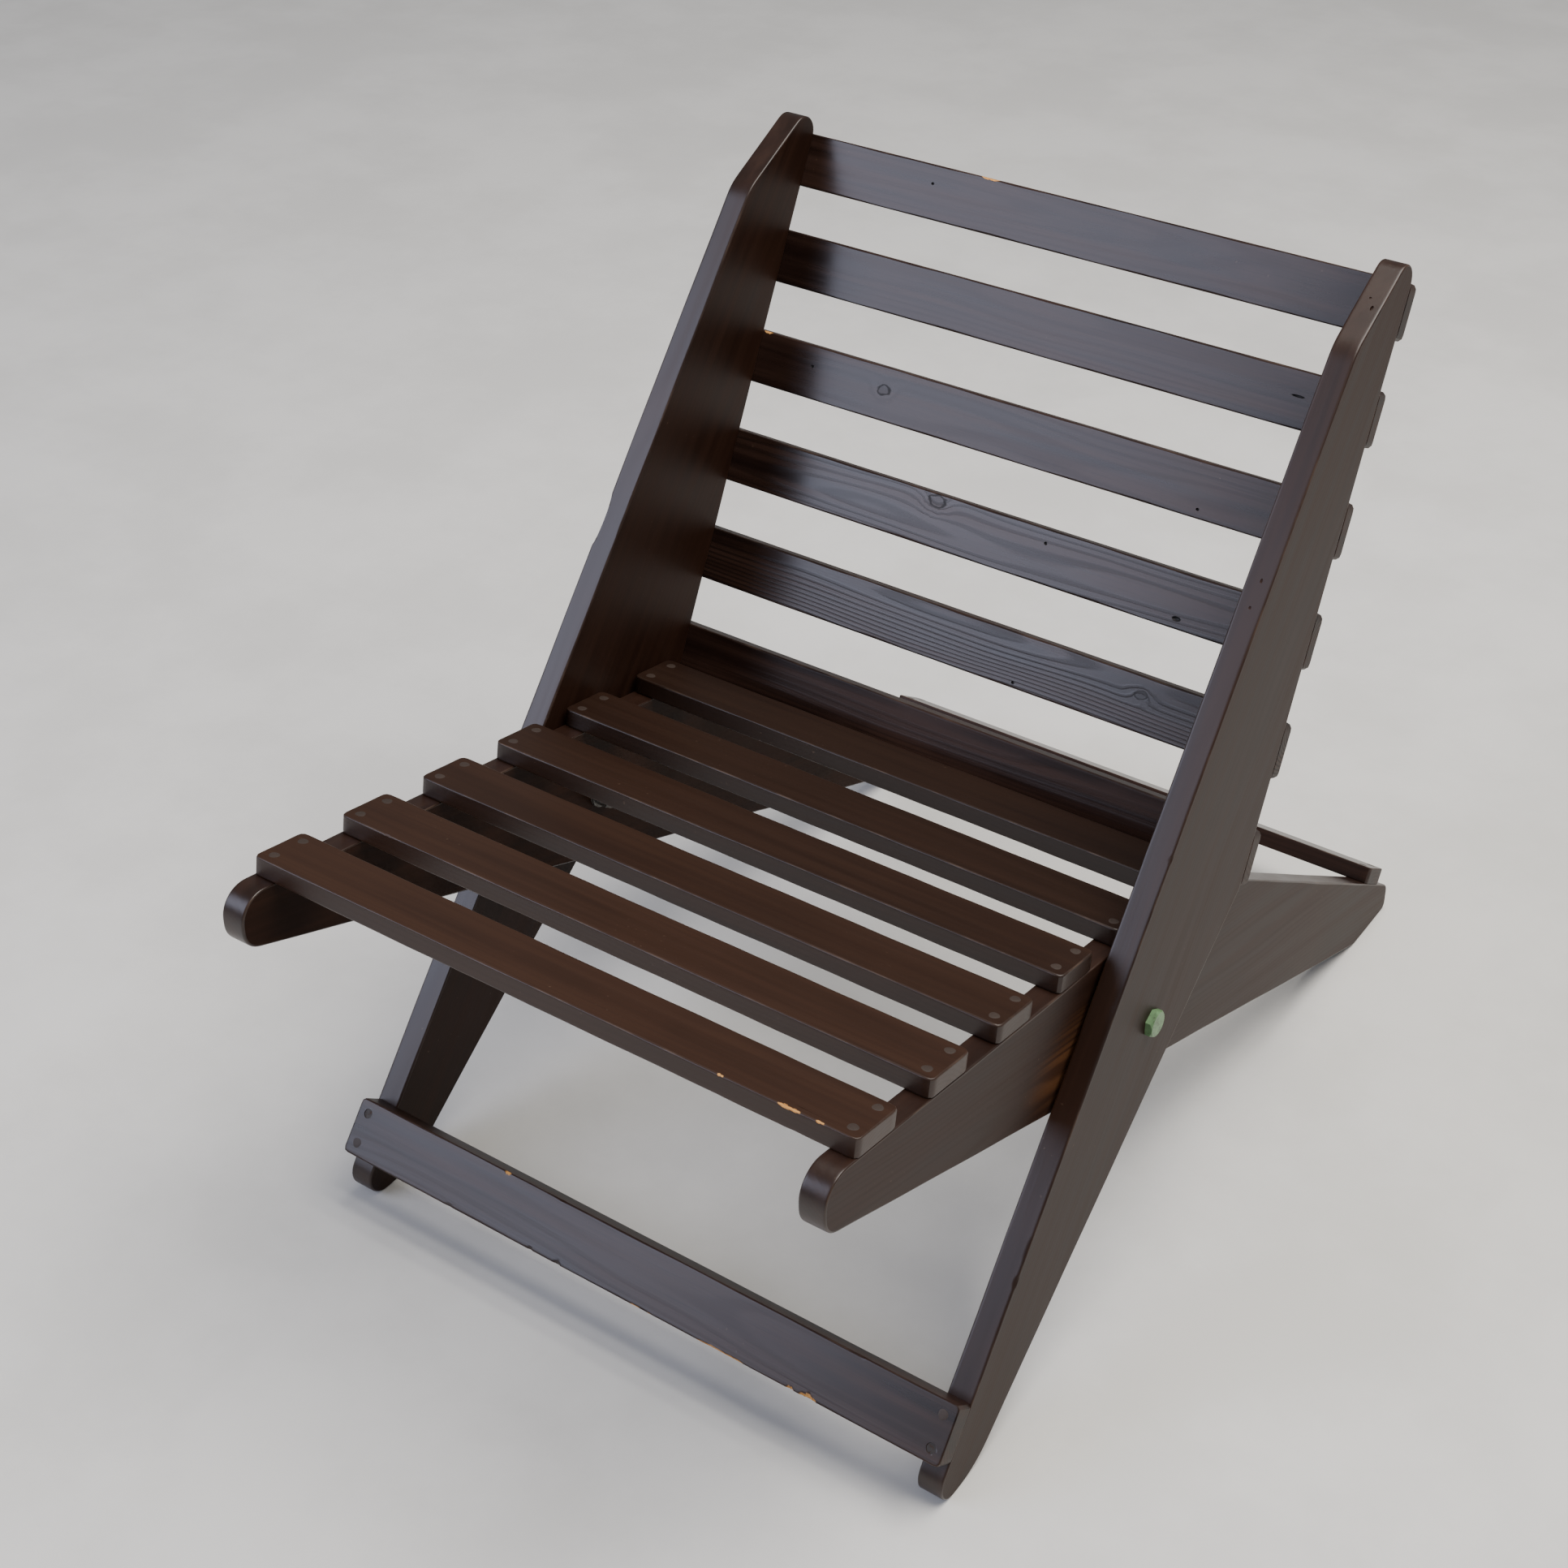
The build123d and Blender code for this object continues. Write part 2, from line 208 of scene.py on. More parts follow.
    # Per-point weight for rubbed wear and a painted highlight along the arrises.
    store(mesh, "rub_and_highlight", np.repeat(rub_and_highlight, count))
    store(mesh, "bare", bare)
    made = bpy.data.objects.new(name, mesh)
    bpy.context.scene.collection.objects.link(made)
    ease_shading(mesh)
    return made


def store(mesh, name, values):
    """Keeps one number or one vector for each point of a mesh, for its material to read."""
    kind, field = ("FLOAT_VECTOR", "vector") if values.ndim == 2 else ("FLOAT", "value")
    held = mesh.attributes.get(name) or mesh.attributes.new(name, kind, "POINT")
    held.data.foreach_set(field, values.astype(np.float32).ravel())


def ease_shading(mesh):
    """Smooth shading, kept crisp where faces meet at more than 35 degrees."""
    mesh.polygons.foreach_set("use_smooth", np.ones(len(mesh.polygons), bool))
    mesh.set_sharp_from_angle(angle=math.radians(35))


def cut_out(piece, node, axes, grain, pits):
    """Takes small pits and screw recesses out of a board for good. Each is an oval cup: rings at four
    heights, from just outside the face down to its floor, scaled along and across the board. The new
    points then get their own places in the log."""
    points, faces = [], []
    turn = np.linspace(0.0, 2 * math.pi, 28, endpoint=False)
    for centre, outward, long_way, half_long, half_across, depth, taper in pits:
        other = np.cross(outward, long_way)
        circle = np.cos(turn)[:, None] * long_way * half_long + np.sin(turn)[:, None] * other * half_across
        lift = np.array([0.001, 0.0, -0.7 * depth, -depth])
        scale = np.array([1.0, 1.0, (1 + taper) / 2, taper])
        cup = centre + circle[None] * scale[:, None, None] + outward * lift[:, None, None]
        row, column = np.meshgrid(np.arange(3), np.arange(len(turn)), indexing="ij")
        follow, base = (column + 1) % len(turn), sum(len(p) for p in points)
        wall = np.stack([row * len(turn) + column, (row + 1) * len(turn) + column,
                         (row + 1) * len(turn) + follow, row * len(turn) + follow], axis=-1)
        faces += (wall.reshape(-1, 4) + base).tolist()
        faces.append((base + np.arange(len(turn))).tolist())
        faces.append((base + 4 * len(turn) - 1 - np.arange(len(turn))).tolist())
        points.append(cup.reshape(-1, 3))
    mesh = bpy.data.meshes.new("cutter")
    mesh.from_pydata(np.vstack(points).tolist(), [], faces)
    tool = bpy.data.objects.new("cutter", mesh)
    bpy.context.scene.collection.objects.link(tool)
    cut = piece.modifiers.new("cut", "BOOLEAN")
    cut.object, cut.operation, cut.solver = tool, "DIFFERENCE", "EXACT"
    ready = piece.evaluated_get(bpy.context.evaluated_depsgraph_get())
    piece.data = bpy.data.meshes.new_from_object(ready)
    piece.modifiers.clear()
    bpy.data.objects.remove(tool)
    places = np.empty(len(piece.data.vertices) * 3)
    piece.data.vertices.foreach_get("co", places)
    store(piece.data, "log", log_place(places.reshape(-1, 3), node, axes, grain))
    ease_shading(piece.data)


def add(tree, kind, inputs=(), **settings):
    """One shader node: settings by name, and inputs as pairs of a socket and a number or an output."""
    made = tree.nodes.new("ShaderNode" + kind)
    for name, value in settings.items():
        setattr(made, name, value)
    for socket, value in inputs:
        if isinstance(value, bpy.types.NodeSocket):
            tree.links.new(value, made.inputs[socket])
        else:
            made.inputs[socket].default_value = value
    return made.outputs


def sums(tree, operation, first, second=0.0, third=0.0):
    """One step of arithmetic in a material."""
    return add(tree, "Math", [(0, first), (1, second), (2, third)], operation=operation)[0]


def steps(tree, value, low, high, start=0.0, end=1.0):
    """A soft step of a value between two limits."""
    return add(tree, "MapRange", [(0, value), (1, low), (2, high), (3, start), (4, end)],
               interpolation_type="SMOOTHSTEP")[0]


def blend_colour(tree, share, first, second):
    """A mix of two colours by a share."""
    return add(tree, "MixRGB", [(0, share), (1, first), (2, second)])[0]


def grain_noise(tree, place, along, across, detail):
    """Noise drawn out along the grain, with its scales in lumps a metre."""
    drawn = add(tree, "Mapping", [("Vector", place), ("Scale", (along, across, across))])[0]
    return add(tree, "TexNoise", [("Vector", drawn), ("Scale", 1.0), ("Detail", detail)])[0]


def oval_distance(tree, log, along, across, half_along, half_across):
    """Distance from a spot in the log, in units of an oval's own half sizes."""
    away = add(tree, "VectorMath", [(0, log), (1, (along, across, 0.0))], operation="SUBTRACT")[0]
    away = add(tree, "VectorMath", [(0, away), (1, (1 / half_along, 1 / half_across, 0.0))],
               operation="MULTIPLY")[0]
    return add(tree, "VectorMath", [(0, away)], operation="LENGTH")[1]


def stained_pine(name, number, stain=FRAME_STAIN, pith=(0.0, 0.024), rings=0.25, gloss=0.34,
                 knots=(), pits=(), painted_glow=(), rub_and_highlight_share=0.4, varnish=0.28):
    """Dark stained pine. Growth rings are circles about a pith under the board, bent by slow noise and
    swollen round each knot; fibres and pores are noise drawn out along the grain. Where the arris
    weight attribute and a patchy noise agree, the arrises are painted lighter, for stain rubbed off and
    for a painted highlight along them. Given ovals get a painted warm reflection in which the late wood
    shows lighter, and chips show bare wood."""
    material = bpy.data.materials.new(name)
    material.use_nodes = True
    tree = material.node_tree
    tree.nodes.clear()
    log = add(tree, "Attribute", attribute_name="log")[1]
    place = add(tree, "Mapping", [("Vector", log), ("Location", (0.37 * number, 0.0, 0.0))])[0]
    sway = grain_noise(tree, place, 2.4, 15.0, 2.0)
    along, across, through = add(tree, "SeparateXYZ", [("Vector", log)])
    radius = add(tree, "VectorMath", [(0, add(tree, "CombineXYZ", [
        ("Y", sums(tree, "SUBTRACT", across, pith[0])), ("Z", sums(tree, "ADD", through, pith[1]))])[0])],
        operation="LENGTH")[1]
    radius = sums(tree, "MULTIPLY_ADD", sway, 0.022, radius)
    knot_dark, pit_dark = 0.0, 0.0
    wobble = sums(tree, "MULTIPLY_ADD", grain_noise(tree, place, 150.0, 190.0, 2.0), 1.1, -0.55)
    for knot_along, knot_across, size in knots:
        away = oval_distance(tree, log, knot_along, knot_across, size * 1.5, size)
        away = sums(tree, "ADD", away, wobble)
        bulge = sums(tree, "EXPONENT", sums(tree, "MULTIPLY", sums(tree, "MULTIPLY", away, away), -0.3))
        radius = sums(tree, "MULTIPLY_ADD", bulge, 1.3 * size, radius)
        heart = steps(tree, away, 1.0, 0.6, 0.0, 0.15)
        rim = sums(tree, "MULTIPLY", steps(tree, away, 0.62, 0.85), steps(tree, away, 1.15, 0.9, 0.0, 0.85))
        knot_dark = sums(tree, "MAXIMUM", knot_dark, sums(tree, "MAXIMUM", heart, rim))
    for pit_along, pit_across, half_long, half_across in pits:
        away = oval_distance(tree, log, pit_along, pit_across, half_long, half_across)
        pit_dark = sums(tree, "MAXIMUM", pit_dark, steps(tree, away, 1.25, 0.9))
    wave = sums(tree, "SINE", sums(tree, "MULTIPLY", radius, 2 * math.pi / RING_SPACING))
    late_wood = steps(tree, wave, -0.2, 0.95)
    fibre = grain_noise(tree, place, 16.0, 900.0, 3.0)
    streak = grain_noise(tree, place, 3.0, 90.0, 4.0)
    cloud = add(tree, "TexNoise", [("Vector", place), ("Scale", 8.0), ("Detail", 4.0)])[0]
    tone = blend_colour(tree, steps(tree, streak, 0.28, 0.72), stain[0], stain[1])
    tone = blend_colour(tree, steps(tree, cloud, 0.42, 0.72, 0.0, 0.75), tone, stain[1])
    colour = blend_colour(tree, sums(tree, "MULTIPLY", late_wood, rings), tone, stain[0])
    colour = blend_colour(tree, steps(tree, fibre, 0.52, 0.74, 0.0, 0.35), colour, stain[0])
    # Painted warm reflection: each oval lightens the colour, its late wood most.
    for glow_along, glow_across, half_along, half_across, share in painted_glow:
        away = oval_distance(tree, log, glow_along, glow_across, half_along, half_across)
        show = steps(tree, sums(tree, "MULTIPLY_ADD", streak, 0.9, away), 1.5, 0.6, 0.0, share)
        lit = blend_colour(tree, late_wood, PAINTED_GLOW_LATE_WOOD, stain[2])
        colour = blend_colour(tree, show, colour, lit)
    colour = blend_colour(tree, sums(tree, "MAXIMUM", knot_dark, pit_dark), colour, PIT_DARK)
    scuff = add(tree, "TexNoise", [("Vector", place), ("Scale", 300.0), ("Detail", 2.0)])[0]
    scuff = sums(tree, "MULTIPLY", steps(tree, scuff, 0.70, 0.78), steps(tree, cloud, 0.50, 0.62, 0.0, 0.5))
    colour = blend_colour(tree, scuff, colour, RUBBED_WOOD_AND_HIGHLIGHT)
    # Rubbed wear and a painted highlight along the arrises, masked by patchy noise.
    rub_and_highlight = add(tree, "Attribute", attribute_name="rub_and_highlight")[2]
    patch = add(tree, "TexNoise", [("Vector", place), ("Scale", 38.0), ("Detail", 4.0)])[0]
    patch = steps(tree, patch, 0.46, 0.68, 0.0, rub_and_highlight_share)
    rubbed_and_highlit = sums(tree, "MULTIPLY", steps(tree, rub_and_highlight, 0.5, 1.0), patch)
    colour = blend_colour(tree, rubbed_and_highlit, colour, RUBBED_WOOD_AND_HIGHLIGHT)
    bare = add(tree, "Attribute", attribute_name="bare")[2]
    torn = blend_colour(tree, steps(tree, fibre, 0.35, 0.65), BARE_WOOD, TORN_GRAIN)
    colour = blend_colour(tree, bare, colour, torn)
    rough = steps(tree, streak, 0.3, 0.75, gloss - 0.02, gloss + 0.03)
    rough = sums(tree, "MULTIPLY_ADD", late_wood, 0.10 * rings, rough)
    rough = sums(tree, "MULTIPLY_ADD", cloud, 0.04, rough)
    dull = sums(tree, "MAXIMUM", bare, pit_dark)
    dull = sums(tree, "MAXIMUM", dull, sums(tree, "MULTIPLY", knot_dark, 0.9))
    rough = sums(tree, "MULTIPLY_ADD", dull, 0.35, rough)
    relief = sums(tree, "MULTIPLY_ADD", late_wood, rings, sums(tree, "MULTIPLY", fibre, 0.35))
    relief = add(tree, "Bump", [("Height", relief), ("Strength", 0.30), ("Distance", 0.00018)])[0]
    sag = grain_noise(tree, place, 9.0, 40.0, 1.0)
    ripple = add(tree, "Bump", [("Height", sag), ("Strength", 0.18), ("Distance", 0.0010),
                                ("Normal", relief)])[0]
    shader = add(tree, "BsdfPrincipled", [("Base Color", colour), ("Roughness", rough), ("Normal", ripple),
                                          ("IOR", 1.5), ("Specular IOR Level", varnish)])[0]
    add(tree, "OutputMaterial", [("Surface", shader)])
    return material


def stile_chip(node, side, y, half_length, depth, fresh, lean=(1.0, 1.0)):
    """A chip out of the front outer arris of a stile, at a height given by y along its front edge."""
    turn = math.radians(FRONT_ANGLE)
    along = np.array([0.0, math.cos(turn), math.sin(turn)])
    forward = np.array([0.0, -math.sin(turn), math.cos(turn)])
    points = cad_points(node)
    front = (points @ forward).max()
    place = along * ((y - front * forward[1]) / along[1]) + front * forward
    outer = np.array([1.0 if side == "right" else -1.0, 0.0, 0.0])
    place[0] = (points @ outer).max() * outer[0]
    return (place, along, lean[0] * outer + lean[1] * forward, half_length, depth, fresh)


STILE_CHIPS = {
    "left": [(-0.006, 0.022, 0.0022, 0, (1.0, 0.6))],
    "right": [(-0.228, 0.012, 0.0005, 0, (0.3, 1.0)), (-0.2415, 0.006, 0.0011, 0, (0.7, 1.0)),
              (-0.060, 0.004, 0.0009, 0, (1.0, 1.0))],
}
STILE_PITS = [(0.2518, 0.0600, FRONT_ANGLE, 0.0022, 0.0011), (0.2506, 0.0480, FRONT_ANGLE, 0.0015, 0.0010),
              (0.2535, 0.1960, 28.5, 0.0024, 0.0016), (0.2490, 0.2030, 28.5, 0.0011, 0.0010)]

STILE_VARNISH = {"left": 0.14, "right": 0.19}

for number, side in enumerate(("left", "right")):
    node = "stile_" + side
    chips = [stile_chip(node, side, *chip) for chip in STILE_CHIPS[side]]
    stile = board("stile_board_" + side, node, SIDE_VIEW, STILE_ARRIS, STILE_SOFTENING, STILE_GRAIN,
                  chips, 1)
    for part, gloss, varnish in (("face", 0.46, STILE_VARNISH[side]), ("edge", 0.33, 0.5)):
        stile.data.materials.append(stained_pine("stile_pine_" + side + "_" + part, 3.0 + number,
                                                 rings=0.12, gloss=gloss, varnish=varnish))
    if side == "right":
        outline = silhouette(node, SIDE_VIEW, STILE_SOFTENING)
        pits = []
        for x, y, lean, half_long, depth in STILE_PITS:
            turn = math.radians(lean)
            z = outline[np.abs(outline[:, 0] - y) < 0.001][:, 1].max()
            centre = np.array([x, y, z])
            outward = np.array([0.0, -math.sin(turn), math.cos(turn)])
            pits.append((centre, outward, np.array([0.0, math.cos(turn), math.sin(turn)]),
                         half_long, 0.0012, depth, 0.5))
        cut_out(stile, node, SIDE_VIEW, STILE_GRAIN, pits)
    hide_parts(node)
    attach(stile, "back_frame")

# ---- the two seat rails ----
# Each rail is a pine board like the stiles, tapering from the seat to a flat-cut rear foot, with a
# full round at its nose. It hangs between the stiles on the pivot bolts. The right one has a painted
# warm reflection on its outer face near the stile, in which its late wood shows lighter.

RAIL_ARRIS = 0.0013
RAIL_SOFTENING = 0.004
RAIL_GRAIN = -15.0
RAIL_PAINTED_GLOW_SPOT = (0.238, -0.125, 0.232)
RAIL_PAINTED_GLOW_HALF_SIZES = (0.085, 0.045)
RAIL_VARNISH = {"left": 0.06, "right": 0.19}

for number, side in enumerate(("left", "right")):
    node = "seat_rail_" + side
    rail = board("seat_rail_board_" + side, node, SIDE_VIEW, RAIL_ARRIS, RAIL_SOFTENING, RAIL_GRAIN, (), 1)
    # Oval of painted warm reflection on the right rail's outer face near the stile.
    spot = log_place(np.array([RAIL_PAINTED_GLOW_SPOT]), node, SIDE_VIEW, RAIL_GRAIN)[0]
    wear_and_glow = [(spot[0], spot[1], *RAIL_PAINTED_GLOW_HALF_SIZES, 1.0)] if side == "right" else []
    for part, gloss, varnish in (("face", 0.46, RAIL_VARNISH[side]), ("edge", 0.33, 0.5)):
        rail.data.materials.append(stained_pine(
            "rail_pine_" + side + "_" + part, 6.0 + number, rings=0.15, gloss=gloss, varnish=varnish,
            painted_glow=wear_and_glow))
    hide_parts(node)
    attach(rail, "seat_frame")

# ---- the six back slats ----
# Planed pine strips screwed to the rear edges of the stiles from behind, two screws an end under
# stained filler. They are the best kept boards, glossy over flame grain, small knots and old pits.

BACK_ANGLE = 64.44
SLAT_ARRIS = 0.0012
SLAT_SOFTENING = 0.006
SLAT_STAIN = ((0.0085, 0.0042, 0.0032, 1.0), (0.0400, 0.0205, 0.0150, 1.0), (0.060, 0.030, 0.020, 1.0))
BACK_KNOTS = {
    3: [(-0.1233, 0.0031, 0.0042)],
    4: [(-0.0540, 0.0150, 0.0050)],
    5: [(0.1481, 0.0065, 0.0034)],
}
BACK_PITS = {
    1: [(-0.1265, 0.0062, 0.0013, 0.0010)],
    2: [(0.2024, 0.0023, 0.0050, 0.0009)],
    3: [(-0.1900, 0.0045, 0.0014, 0.0011), (0.1520, -0.0139, 0.0013, 0.0010)],
    4: [(0.0430, 0.0097, 0.0013, 0.0012), (0.1587, -0.0131, 0.0034, 0.0017)],
    5: [(0.0465, -0.0165, 0.0013, 0.0011)],
}
BACK_PIT_DEPTH = 0.0012
BACK_PITH = {1: (0.004, 0.030), 2: (0.016, 0.018), 3: (-0.006, 0.020), 4: (-0.003, 0.013),
             5: (0.018, 0.011), 6: (0.020, 0.012)}
BACK_RINGS = {1: 0.15, 2: 0.18, 3: 0.22, 4: 0.55, 5: 0.70, 6: 0.30}
BACK_VARNISH = {1: 0.42, 2: 0.42, 3: 0.43, 4: 0.52, 5: 0.55, 6: 0.14}
SCREW_FROM_END = 0.0095
FILLER_RADIUS = 0.0036
BACK_SCREW_STEP = 0.011


def slat_view(angle):
    """Axes of a bar across the chair: along it, across its width at that side-view angle, and through."""
    turn = math.radians(angle)
    return np.array([[1.0, 0.0, 0.0], [0.0, math.cos(turn), math.sin(turn)],
                     [0.0, -math.sin(turn), math.cos(turn)]])


def slat_span(node, axes):
    """Lowest and highest values of a bar's points along its own three axes."""
    points = cad_points(node) @ axes.T
    return points.min(axis=0), points.max(axis=0)


def slat_chip(node, axes, along, across_sign, through_sign, half_length, depth, fresh=1, lean=(1.0, 1.0)):
    """A chip out of one long arris of a bar; lean weighs how far its floor faces each way."""
    low, high = slat_span(node, axes)
    across = high[1] if across_sign > 0 else low[1]
    through = high[2] if through_sign > 0 else low[2]
    place = along * axes[0] + across * axes[1] + through * axes[2]
    outward = lean[0] * across_sign * axes[1] + lean[1] * through_sign * axes[2]
    return (place, axes[0], outward, half_length, depth, fresh)


def face_pit(node, axes, along, off, half_long, half_across, depth, taper):
    """An oval pit in the outer face of a bar, off from its middle line."""
    low, high = slat_span(node, axes)
    centre = along * axes[0] + ((low[1] + high[1]) / 2 + off) * axes[1] + high[2] * axes[2]
    return (centre, axes[2], axes[0], half_long, half_across, depth, taper)


def filler_dots(name, nodes, axes, face_sign, step, body, skip=()):
    """Low domes of filler over the sunk screw heads, two at each end of each bar: rings of shrinking
    radius, each a little higher than the last, round a rim that wavers. skip leaves heads open."""
    spots = []
    for node in nodes:
        low, high = slat_span(node, axes)
        face = high[2] if face_sign > 0 else low[2]
        for x in (low[0] + SCREW_FROM_END, high[0] - SCREW_FROM_END):
            for off in (-step, step):
                if (x > 0, off > 0) not in skip:
                    spots.append((x, (low[1] + high[1]) / 2 + off, face))
    spots = np.array(spots)
    turn = np.linspace(0.0, 2 * math.pi, 24, endpoint=False)
    share = np.array([0.97, 1.0, 0.86, 0.5, 0.08])
    lift = np.array([-0.00035, 0.00001, 0.00010, 0.00016, 0.00018]) * face_sign
    waver = 1 + 0.05 * np.sin(3 * turn[None] + 7 * np.arange(len(spots))[:, None])
    circle = np.stack([np.cos(turn), np.sin(turn) * face_sign, 0 * turn], axis=1)
    flat = circle[None, None] * (FILLER_RADIUS * share[None, :, None] * waver[:, None, :])[..., None]
    own = spots[:, None, None, :] + flat + np.array([0.0, 0.0, 1.0]) * lift[None, :, None, None]
    points = own.reshape(-1, 3) @ axes
    ring, column = np.meshgrid(np.arange(len(share) - 1), np.arange(len(turn)), indexing="ij")
    follow = (column + 1) % len(turn)
    wall = np.stack([ring * 24 + column, ring * 24 + follow, (ring + 1) * 24 + follow,
                     (ring + 1) * 24 + column], axis=-1).reshape(-1, 4)
    base = (np.arange(len(spots)) * len(share) * 24)[:, None]
    faces = (wall[None] + base[:, :, None]).reshape(-1, 4).tolist()
    faces += (base + np.arange(23, -1, -1)).tolist()
    faces += (base + (len(share) - 1) * 24 + np.arange(24)).tolist()
    mesh = bpy.data.meshes.new(name)
    mesh.from_pydata(points.tolist(), [], faces)
    ease_shading(mesh)
    made = bpy.data.objects.new(name, mesh)
    bpy.context.scene.collection.objects.link(made)
    made.data.materials.append(stained_filler)
    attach(made, body)
    return made


def filler_paste():
    """Wood filler stained over with the boards: a little paler and duller than they are, fine grained."""
    material = bpy.data.materials.new("stained_filler")
    material.use_nodes = True
    tree = material.node_tree
    tree.nodes.clear()
    spot = add(tree, "TexCoord")[3]
    grit = add(tree, "TexNoise", [("Vector", spot), ("Scale", 900.0), ("Detail", 3.0)])[0]
    patch = add(tree, "TexNoise", [("Vector", spot), ("Scale", 60.0), ("Detail", 2.0)])[0]
    colour = blend_colour(tree, patch, (0.024, 0.014, 0.010, 1.0), (0.048, 0.032, 0.024, 1.0))
    colour = blend_colour(tree, steps(tree, grit, 0.5, 0.7, 0.0, 0.5), colour, (0.016, 0.010, 0.008, 1.0))
    bump = add(tree, "Bump", [("Height", grit), ("Strength", 0.4), ("Distance", 0.0001)])[0]
    shader = add(tree, "BsdfPrincipled", [("Base Color", colour), ("Roughness", 0.55), ("Normal", bump)])[0]
    add(tree, "OutputMaterial", [("Surface", shader)])
    return material


stained_filler = filler_paste()
back_axes = slat_view(BACK_ANGLE)
BACK_CHIPS = {1: [(-0.079, 1, 1, 0.0085, 0.0013)], 3: [(-0.237, 1, 1, 0.004, 0.0013)]}
for number in range(1, 7):
    node = "back_slat_" + str(number)
    chips = [slat_chip(node, back_axes, *chip, lean=(1.0, 0.45)) for chip in BACK_CHIPS.get(number, ())]
    slat = board("back_slat_bar_" + str(number), node, back_axes, SLAT_ARRIS, SLAT_SOFTENING, 0.0, chips, 1)
    holes = BACK_PITS.get(number, ())
    if holes:
        cut_out(slat, node, back_axes, 0.0,
                [face_pit(node, back_axes, *hole, depth=BACK_PIT_DEPTH, taper=0.5) for hole in holes])
    for part, gloss, varnish in (("face", 0.20, BACK_VARNISH[number]), ("edge", 0.42, 0.17)):
        slat.data.materials.append(stained_pine(
            "back_slat_pine_" + str(number) + "_" + part, 11.0 + 1.3 * number, SLAT_STAIN,
            BACK_PITH[number], BACK_RINGS[number], gloss, BACK_KNOTS.get(number, ()), holes,
            varnish=varnish))
    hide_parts(node)
    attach(slat, "back_frame")
filler_dots("back_slat_fillers", ["back_slat_" + str(k) for k in range(1, 7)], back_axes, -1,
            BACK_SCREW_STEP, "back_frame")

# ---- the six seat slats ----
# Planed pine strips screwed down on the seat rails, two screws an end under filler. Sitting has
# dulled their tops and reddened the stain; their arrises get rubbed wear and a painted highlight.

SEAT_ANGLE = -9.83
SEAT_SCREW_STEP = 0.013
SEAT_STAIN = np.array([[0.0175, 0.0078, 0.0046], [0.0262, 0.0118, 0.0066], [0.050, 0.022, 0.010]])
SEAT_DEPTH = {1: 1.5, 2: 1.4, 3: 1.2, 4: 1.05, 5: 0.9, 6: 0.8}
SEAT_CHIPS = {
    1: [(0.190, 0.0105, 0.0010, 1, (0.8, 1.0)), (0.2115, 0.0042, 0.0008, 1, (0.8, 1.0)),
        (0.1405, 0.0030, 0.0008, 1, (0.7, 1.0)), (-0.060, 0.0040, 0.0007, 0, (1.0, 1.0))],
    2: [(-0.196, 0.0050, 0.0009, 0, (1.0, 1.0))],
}
seat_axes = slat_view(SEAT_ANGLE)
for number in range(1, 7):
    node = "seat_slat_" + str(number)
    chips = [slat_chip(node, seat_axes, x, -1, 1, half, depth, fresh, lean)
             for x, half, depth, fresh, lean in SEAT_CHIPS.get(number, ())]
    slat = board("seat_slat_bar_" + str(number), node, seat_axes, SLAT_ARRIS, SLAT_SOFTENING, 0.0, chips, 1)
    stain = [tuple(SEAT_DEPTH[number] * tone) + (1.0,) for tone in SEAT_STAIN]
    for part, gloss, varnish in (("face", 0.42, 0.22), ("edge", 0.36, 0.42)):
        slat.data.materials.append(stained_pine(
            "seat_slat_pine_" + str(number) + "_" + part, 23.0 + 1.7 * number, stain,
            (0.012 * math.sin(2.1 * number), 0.028), 0.20, gloss, rub_and_highlight_share=0.55, varnish=varnish))
    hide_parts(node)
    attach(slat, "seat_frame")
filler_dots("seat_slat_fillers", ["seat_slat_" + str(k) for k in range(1, 7)], seat_axes, 1,
            SEAT_SCREW_STEP, "seat_frame")

# ---- the cross rails ----
# One bar across the front of the legs just above the floor, and a thinner one across the tails of
# the seat rails. Both are screwed on from outside, two screws an end. Shoes have chipped the lower
# arris of the front one, and two of its screw heads have lost their filler.

TAIL_ANGLE = -32.72
CROSS_ARRIS = SLAT_ARRIS * 0.85
CROSS_SCREW_STEP = 0.01125
OPEN_HEAD_DEPTH = 0.0009
OPEN_HEADS = {(False, True), (True, False)}
FRONT_CHIPS = [
    (0.1575, -1, 0.0070, 0.0019, 1, (0.8, 0.8)), (0.1433, -1, 0.0030, 0.0014, 1, (1.0, 0.7)),
    (0.0850, -1, 0.0240, 0.0008, 1, (1.0, 0.9)), (-0.0565, -1, 0.0030, 0.0014, 0, (1.0, 1.0)),
    (-0.0812, -1, 0.0026, 0.0012, 0, (1.0, 1.0)), (0.0150, -1, 0.0150, 0.0006, 1, (1.0, 0.9)),
    (-0.1560, -1, 0.0060, 0.0009, 0, (1.0, 1.0)), (-0.1202, 1, 0.0030, 0.0011, 1, (0.8, 1.0)),
    (-0.0700, 1, 0.0050, 0.0008, 0, (1.0, 1.0)), (0.1836, 1, 0.0040, 0.0009, 0, (1.0, 1.0)),
]
